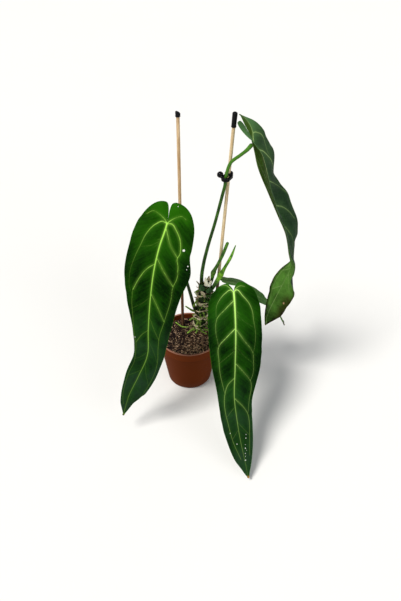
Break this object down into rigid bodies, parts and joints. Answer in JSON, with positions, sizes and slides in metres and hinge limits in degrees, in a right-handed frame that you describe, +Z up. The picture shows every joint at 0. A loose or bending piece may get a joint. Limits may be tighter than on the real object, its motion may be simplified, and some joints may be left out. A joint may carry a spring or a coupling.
{
  "type": "queen anthurium in a nursery pot",
  "caption": "Potted aroid with long drooping heart-shaped leaves, young shoots, a rooted trunk in coarse soil, and capped wooden stakes, one tied to the tallest stalk.",
  "frame": {"origin": "middle of the pot's underside, on the surface that it stands on", "axes": "+Z up along the pot's axis; -Y towards the viewer of the picture; +X to that viewer's right"},
  "size_m": [0.3121, 0.315, 0.5483],
  "materials": {
    "pot": "satin moulded terracotta-brown plastic",
    "soil": "coarse bark and chip mix",
    "trunk": "ringed, with dry tan fibres",
    "leaf": "velvety dark green with pale veins",
    "stalk": "smooth green",
    "stake": "bare light wood",
    "cap": "soft black",
    "tie": "glossy black cord"
  },
  "bodies": {
    "root": {"pot": "pot", "soil": "soil", "trunk": "trunk", "leaf_left": "leaf", "stalk_left": "stalk", "leaf_front": "leaf", "stalk_front": "stalk", "leaf_tall": "leaf", "stalk_tall": "stalk", "leaf_back": "leaf", "stalk_back": "stalk", "shoot_dark": "stalk", "shoot_bright": "stalk", "stake_left": "stake", "stake_right": "stake", "stake_cap_left": "cap", "stake_cap_right": "cap", "tie": "tie"}
  },
  "joints": []
}
